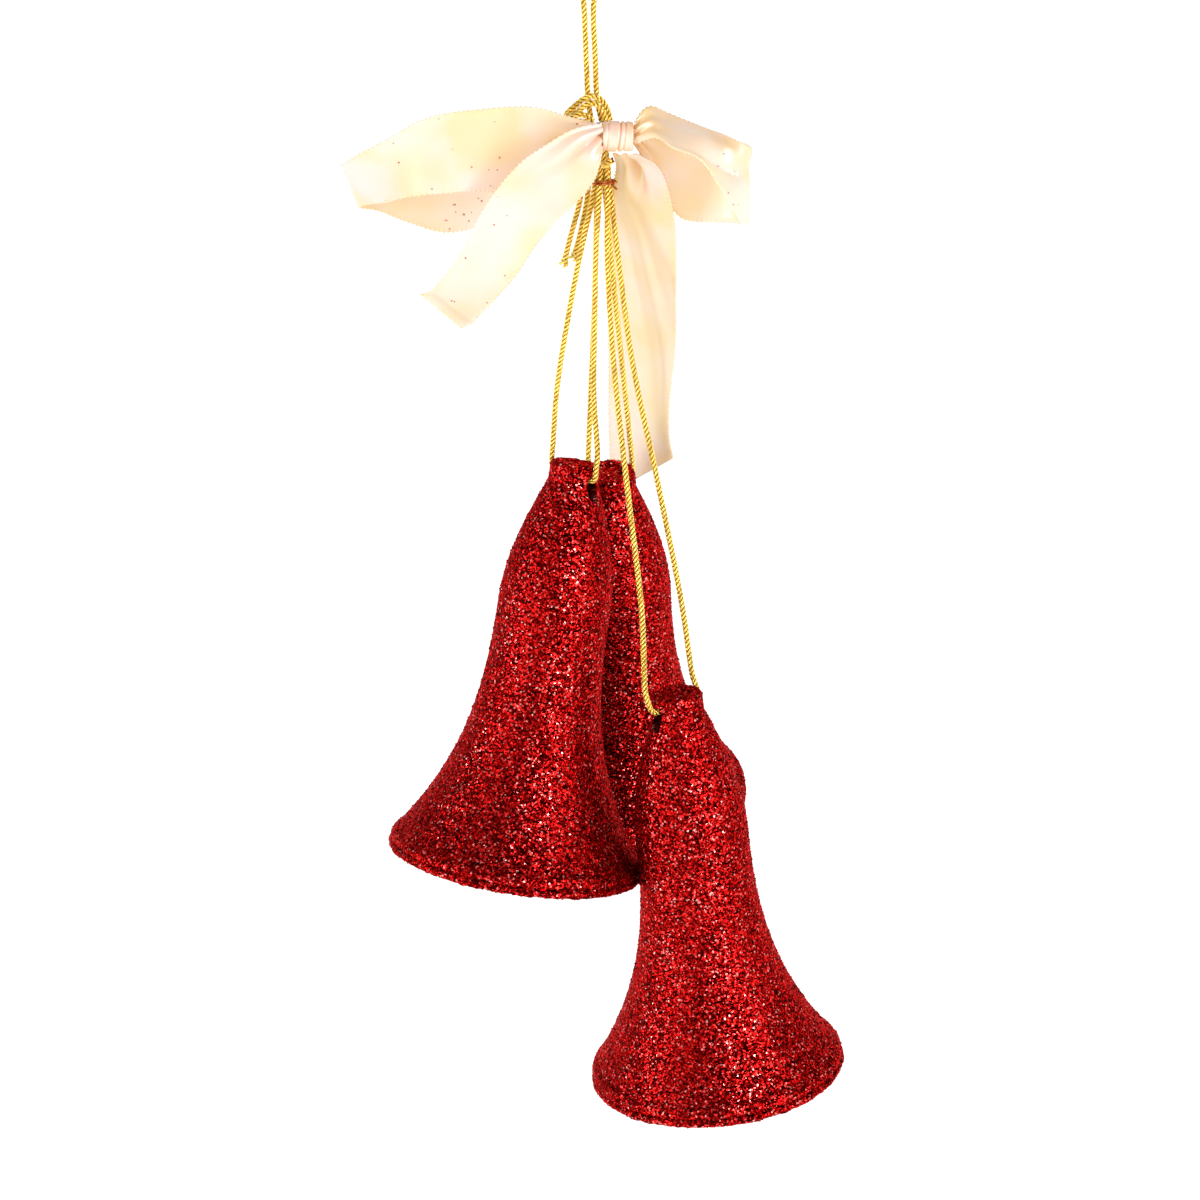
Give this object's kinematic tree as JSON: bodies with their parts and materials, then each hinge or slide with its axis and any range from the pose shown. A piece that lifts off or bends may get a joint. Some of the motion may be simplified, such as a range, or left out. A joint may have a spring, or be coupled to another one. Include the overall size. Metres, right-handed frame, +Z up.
{
  "type": "hanging bell cluster ornament",
  "caption": "Cluster of hollow red glitter bells, each threaded on its own gold cord loop, gathered under a cream satin bow and hung from a cord loop.",
  "frame": {"origin": "top of the hanging loop, where a hook or branch carries it", "axes": "+Z up, +X to the right seen from the front, +Y to the back"},
  "size_m": [0.0978, 0.1023, 0.2212],
  "materials": {
    "red_glitter": "coarse red glitter over a moulded shell",
    "gold_cord": "twisted metallic thread",
    "satin_ribbon": "cream satin with stitched edges",
    "copper_wire": "bright copper"
  },
  "bodies": {
    "hanger": {"hanging_loop": "gold_cord", "hanger_knot": "gold_cord", "cord_bundle": "gold_cord", "binding_wire": "copper_wire", "tie_cord": "gold_cord", "cut_tail_long": "gold_cord", "cut_tail_short": "gold_cord", "bow_wrap": "satin_ribbon", "bow_left_loop": "satin_ribbon", "bow_right_loop": "satin_ribbon", "bow_left_tail": "satin_ribbon", "bow_right_tail": "satin_ribbon"},
    "cord_1": {"bell_1_cord": "gold_cord"},
    "bell_1_body": {"bell_1": "red_glitter"},
    "cord_2": {"bell_2_cord": "gold_cord"},
    "bell_2_body": {"bell_2": "red_glitter"},
    "cord_3": {"bell_3_cord": "gold_cord"},
    "bell_3_body": {"bell_3": "red_glitter"}
  },
  "joints": [
    {"name": "bell_1_swing", "type": "hinge", "parent": "hanger", "child": "cord_1", "pos_m": [0.0026, 0, -0.042], "axis": [-0.7141, 0.7001, 0], "range_deg": [0, 20]},
    {"name": "bell_1_rock", "type": "hinge", "parent": "cord_1", "child": "bell_1_body", "pos_m": [-0.00284, -0.00398, -0.09872], "axis": [-0.7286, 0.6849, -0.0032], "range_deg": [0, 15]},
    {"name": "bell_2_swing", "type": "hinge", "parent": "hanger", "child": "cord_2", "pos_m": [0.0026, 0, -0.042], "axis": [0.7682, 0.6402, 0], "range_deg": [0, 12]},
    {"name": "bell_2_rock", "type": "hinge", "parent": "cord_2", "child": "bell_2_body", "pos_m": [0.00434, 0.00868, -0.10422], "axis": [0.7908, 0.5852, 0.1793], "range_deg": [0, 15]},
    {"name": "bell_3_swing", "type": "hinge", "parent": "hanger", "child": "cord_3", "pos_m": [0.0026, 0, -0.042], "axis": [-0.7848, -0.6198, 0], "range_deg": [0, 22]},
    {"name": "bell_3_rock", "type": "hinge", "parent": "cord_3", "child": "bell_3_body", "pos_m": [0.01732, -0.0225, -0.13968], "axis": [-0.826, -0.5589, -0.073], "range_deg": [0, 20]}
  ]
}
